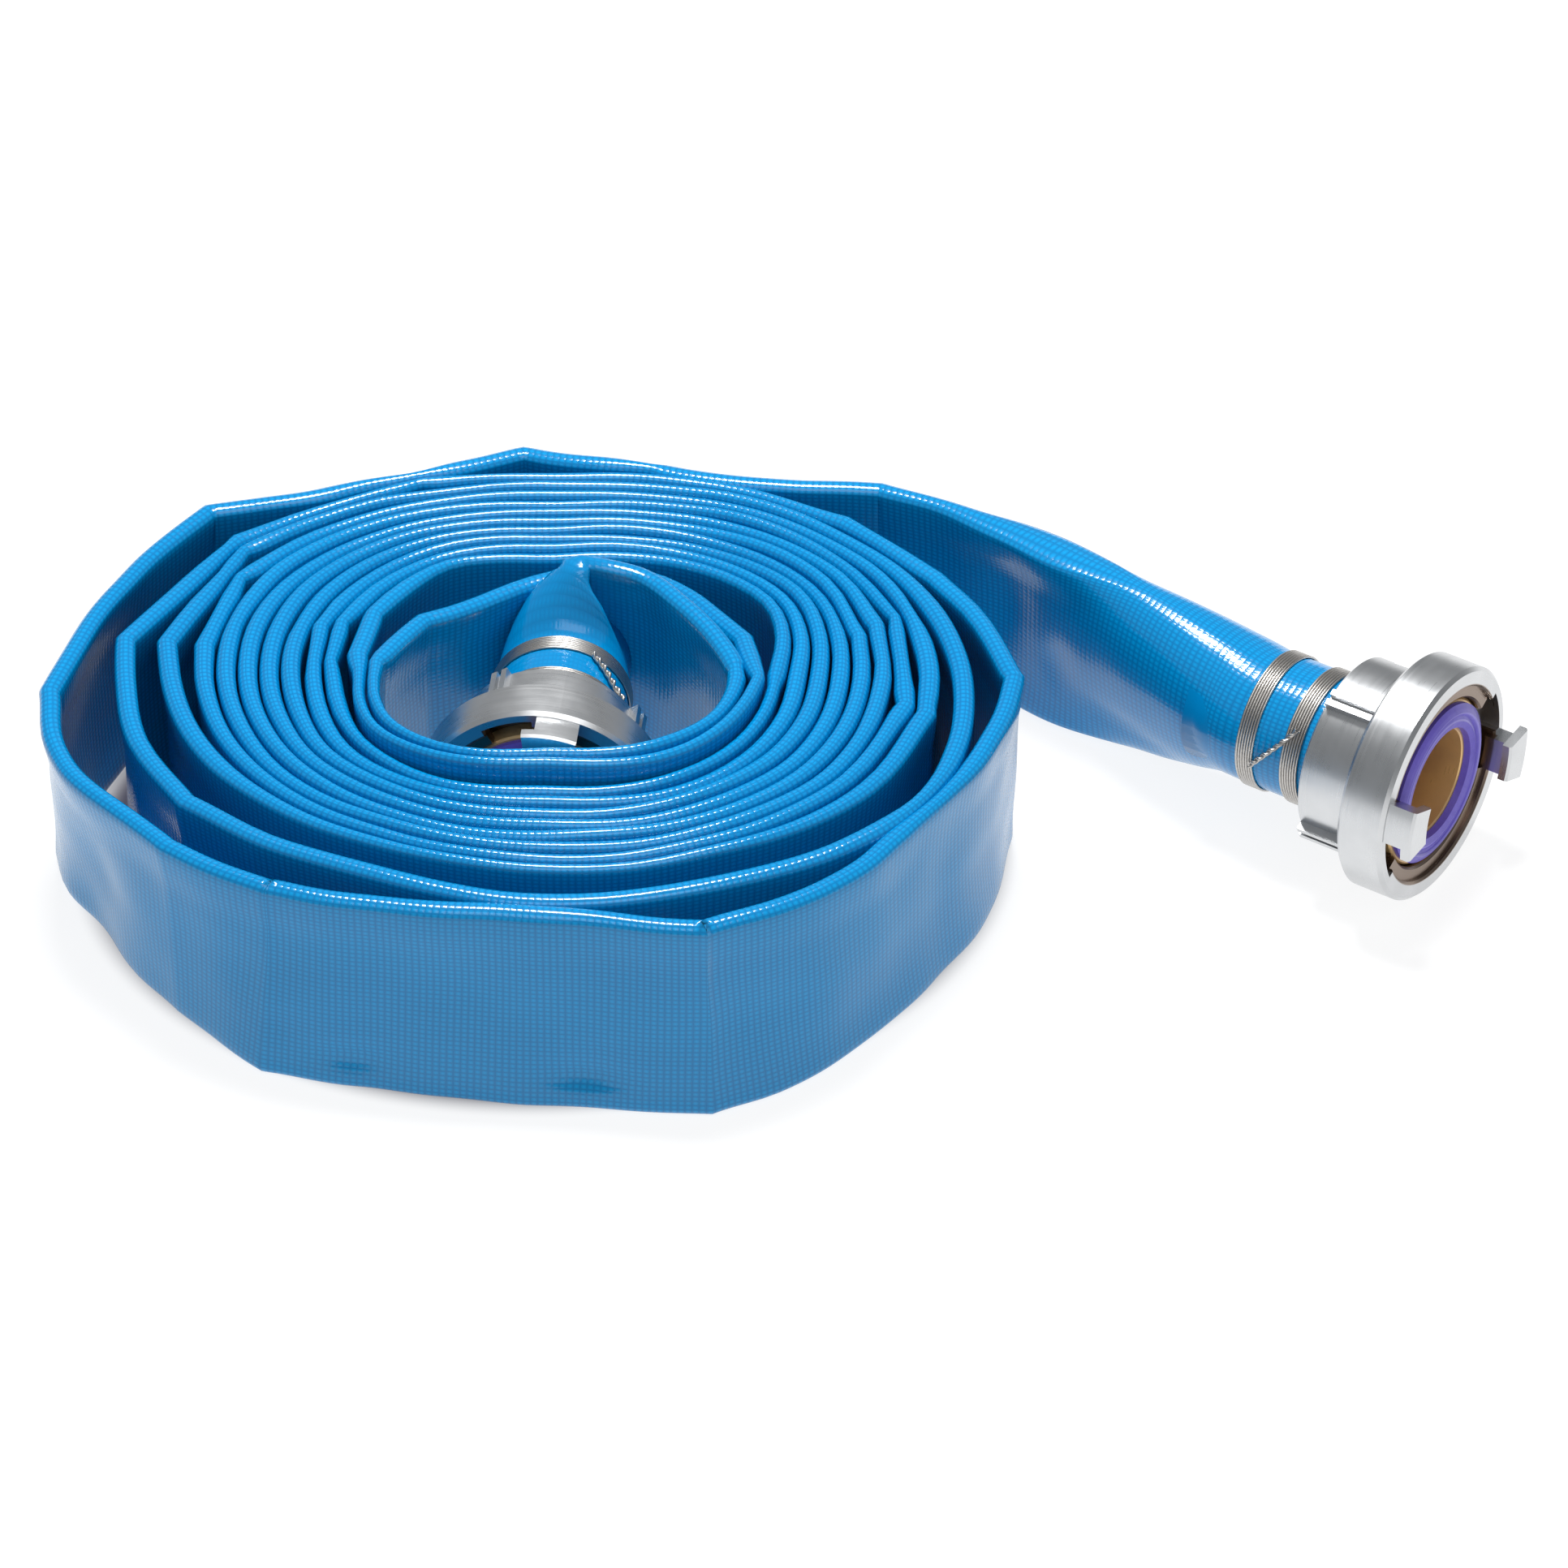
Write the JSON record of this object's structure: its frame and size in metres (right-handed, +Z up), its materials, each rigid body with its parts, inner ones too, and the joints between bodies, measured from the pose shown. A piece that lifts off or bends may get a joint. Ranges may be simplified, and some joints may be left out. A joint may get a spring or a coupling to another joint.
{
  "type": "rolled fire hose",
  "caption": "Lay-flat fire hose wound on edge into a roll, with a wire-bound claw coupling at each end; each coupling's lug ring turns on its hose tail.",
  "frame": {"origin": "on the floor under the middle of the whole object's plan", "axes": "+X from the roll toward the outer coupling, +Y away from the viewer of the picture, +Z up; the roll lies with the hose on edge"},
  "size_m": [0.5812, 0.3232, 0.098],
  "materials": {
    "jacket": "glossy coated weave",
    "lining": "matt",
    "alloy": "satin, turned",
    "bronze_alloy": "satin, anodised gold brown",
    "seal": "semi-gloss",
    "spring_steel": "satin",
    "wire": "drawn"
  },
  "bodies": {
    "hose": {"hose_roll": "jacket", "outer_run": "jacket", "inner_run": "jacket", "outer_hose_tail": "bronze_alloy", "outer_face_seal": "seal", "outer_retaining_ring": "spring_steel", "outer_lining_sleeve": "lining", "outer_jacket_cuff": "jacket", "outer_rear_binding": "wire", "outer_front_binding": "wire", "outer_binding_twist": "wire", "inner_hose_tail": "bronze_alloy", "inner_face_seal": "seal", "inner_retaining_ring": "spring_steel", "inner_lining_sleeve": "lining", "inner_jacket_cuff": "jacket", "inner_rear_binding": "wire", "inner_front_binding": "wire", "inner_binding_twist": "wire"},
    "outer_ring": {"outer_lug_ring": "alloy"},
    "inner_ring": {"inner_lug_ring": "alloy"}
  },
  "joints": [
    {"name": "outer_ring_turn", "type": "hinge", "parent": "hose", "child": "outer_ring", "pos_m": [0.24246, -0.00796, 0.049], "axis": [0.829, -0.5592, 0], "continuous": true},
    {"name": "inner_ring_turn", "type": "hinge", "parent": "hose", "child": "inner_ring", "pos_m": [-0.0983, -0.01951, 0.049], "axis": [-0.0872, -0.9962, 0], "range_deg": [-10, 10]}
  ]
}
